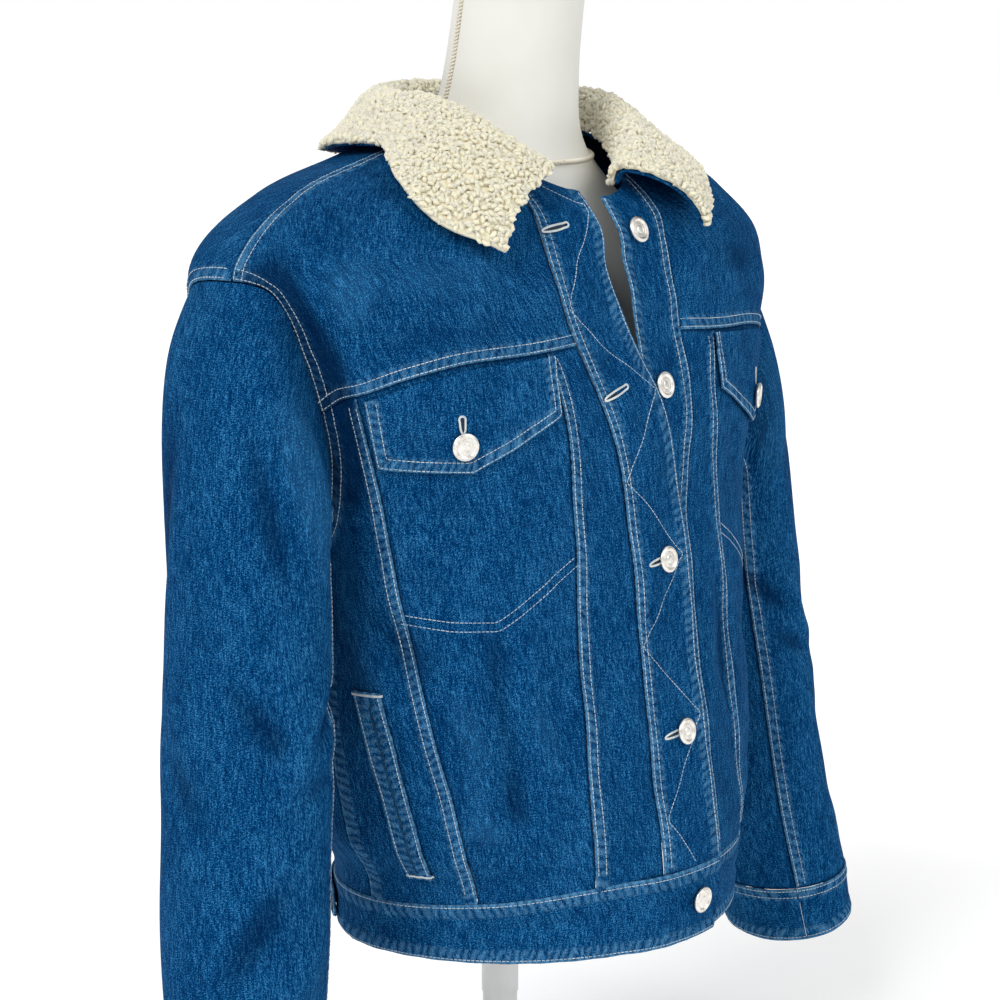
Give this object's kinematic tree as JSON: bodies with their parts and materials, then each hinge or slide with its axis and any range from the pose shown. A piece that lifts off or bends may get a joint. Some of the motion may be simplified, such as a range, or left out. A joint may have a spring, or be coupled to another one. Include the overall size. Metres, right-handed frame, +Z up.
{
  "type": "sherpa collar denim jacket on a dress form",
  "caption": "Cropped denim jacket with curly sherpa collar, flap chest pockets, slanted welts and ring buttons, worn open at the neck on a limbless dress form with a round foot",
  "frame": {"origin": "centre of the underside of the stand's round foot", "axes": "+Z up along the pole, the wearer faces -Y, the wearer's right is -X"},
  "size_m": [0.7236, 0.3407, 0.9],
  "materials": {
    "denim": "indigo twill with pale ecru topstitching and lighter roping along the seams",
    "sherpa": "cream curly pile, matt",
    "button_metal": "pale silver with a raised rim and plain concentric rings",
    "form_cover": "smooth pale cloth cover, matt",
    "stand_metal": "satin pale grey paint"
  },
  "bodies": {
    "root": {"back_centre": "denim", "back_side_left": "denim", "back_side_right": "denim", "back_yoke": "denim", "cuff_left": "denim", "cuff_right": "denim", "dress_form": "form_cover", "flap_button_left": "button_metal", "flap_button_right": "button_metal", "front_button_1": "button_metal", "front_button_2": "button_metal", "front_button_3": "button_metal", "front_button_4": "button_metal", "front_inner_left": "denim", "front_inner_right": "denim", "front_pocket_panel_left": "denim", "front_pocket_panel_right": "denim", "front_side_left": "denim", "front_side_right": "denim", "front_yoke_left": "denim", "front_yoke_right": "denim", "neck_cap": "form_cover", "placket_left": "denim", "placket_right": "denim", "pocket_flap_left": "denim", "pocket_flap_right": "denim", "pocket_welt_left": "denim", "pocket_welt_right": "denim", "sherpa_collar": "sherpa", "stand_base": "stand_metal", "stand_pole": "stand_metal", "tab_button_left": "button_metal", "tab_button_right": "button_metal", "top_sleeve_left": "denim", "top_sleeve_right": "denim", "under_collar": "denim", "under_sleeve_left": "denim", "under_sleeve_right": "denim", "waist_button": "button_metal", "waist_tab_left": "denim", "waist_tab_right": "denim", "waistband": "denim"}
  },
  "joints": []
}
